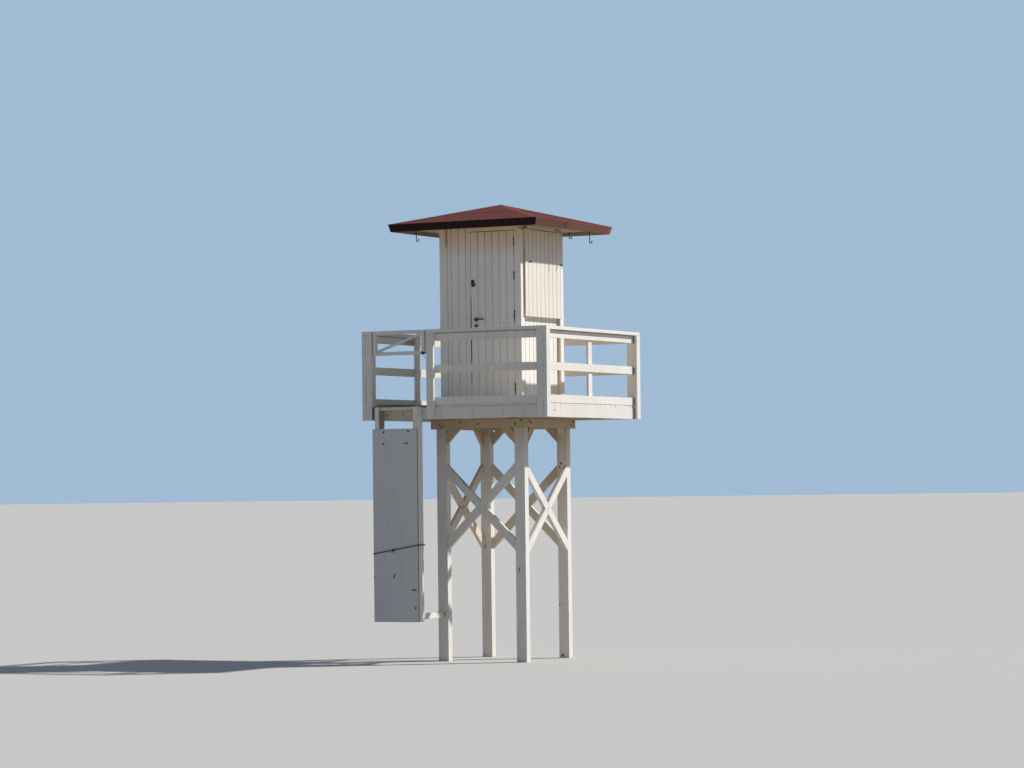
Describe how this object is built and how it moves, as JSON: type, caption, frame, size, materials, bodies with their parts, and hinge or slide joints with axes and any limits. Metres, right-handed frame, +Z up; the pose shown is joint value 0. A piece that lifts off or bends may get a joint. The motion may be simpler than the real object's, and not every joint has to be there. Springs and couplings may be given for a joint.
{
  "type": "lifeguard tower",
  "caption": "Raised timber hut on braced legs with a railed deck, a hinged door and gate, window hatches, a blocked ladder and a low pyramid roof.",
  "frame": {"origin": "middle of the overall footprint on the ground, at the feet of the legs", "axes": "+Z up, -Y towards the front with the door, gate and ladder, +X to the right seen from the front"},
  "size_m": [2.5, 2.6158, 5.529],
  "materials": {
    "white_paint": "weathered white paint on softwood",
    "worn_wood": "worn thin paint on softwood",
    "board_paint": "grey-white painted plywood",
    "rope": "dark twisted rope",
    "iron": "rusted steel hardware",
    "roof_sheet": "red-brown mineral roofing felt",
    "roof_edge": "dark red-brown painted wood"
  },
  "bodies": {
    "tower": {"front_left_leg": "white_paint", "front_right_leg": "white_paint", "back_left_leg": "white_paint", "back_right_leg": "white_paint", "ring_beams": "worn_wood", "front_braces": "worn_wood", "back_braces": "worn_wood", "left_braces": "worn_wood", "right_braces": "worn_wood", "knee_braces": "worn_wood", "joists": "worn_wood", "rim_boards": "white_paint", "deck": "worn_wood", "corner_posts": "white_paint", "gate_post": "white_paint", "rail_supports": "white_paint", "rails": "white_paint", "toe_boards": "white_paint", "handrails": "white_paint", "ladder_stringers": "white_paint", "ladder_treads": "worn_wood", "ladder_strut": "white_paint", "climb_board": "board_paint", "tie_rope": "rope", "hut_corner_posts": "white_paint", "front_wall": "white_paint", "door_header": "white_paint", "back_wall": "white_paint", "left_wall": "white_paint", "right_wall": "white_paint", "hatches": "white_paint", "hatch_hinges": "iron", "fixed_hinge_leaves": "iron", "ceiling": "white_paint", "roof_cover": "roof_sheet", "roof_fascia": "roof_edge", "eave_hooks": "iron"},
    "door": {"door": "white_paint", "door_hinge_leaves": "iron", "door_handle": "iron", "padlock": "iron"},
    "gate": {"gate": "white_paint", "gate_hinge_leaves": "iron", "gate_latch": "iron"}
  },
  "joints": [
    {"name": "door_hinge", "type": "hinge", "parent": "tower", "child": "door", "pos_m": [0.4645, -0.49975, 4.2], "axis": [0, 0, 1], "range_deg": [0, 160]},
    {"name": "gate_hinge", "type": "hinge", "parent": "tower", "child": "gate", "pos_m": [-1.1085, -1.13175, 3.83], "axis": [0, 0, 1], "range_deg": [0, 90]}
  ]
}
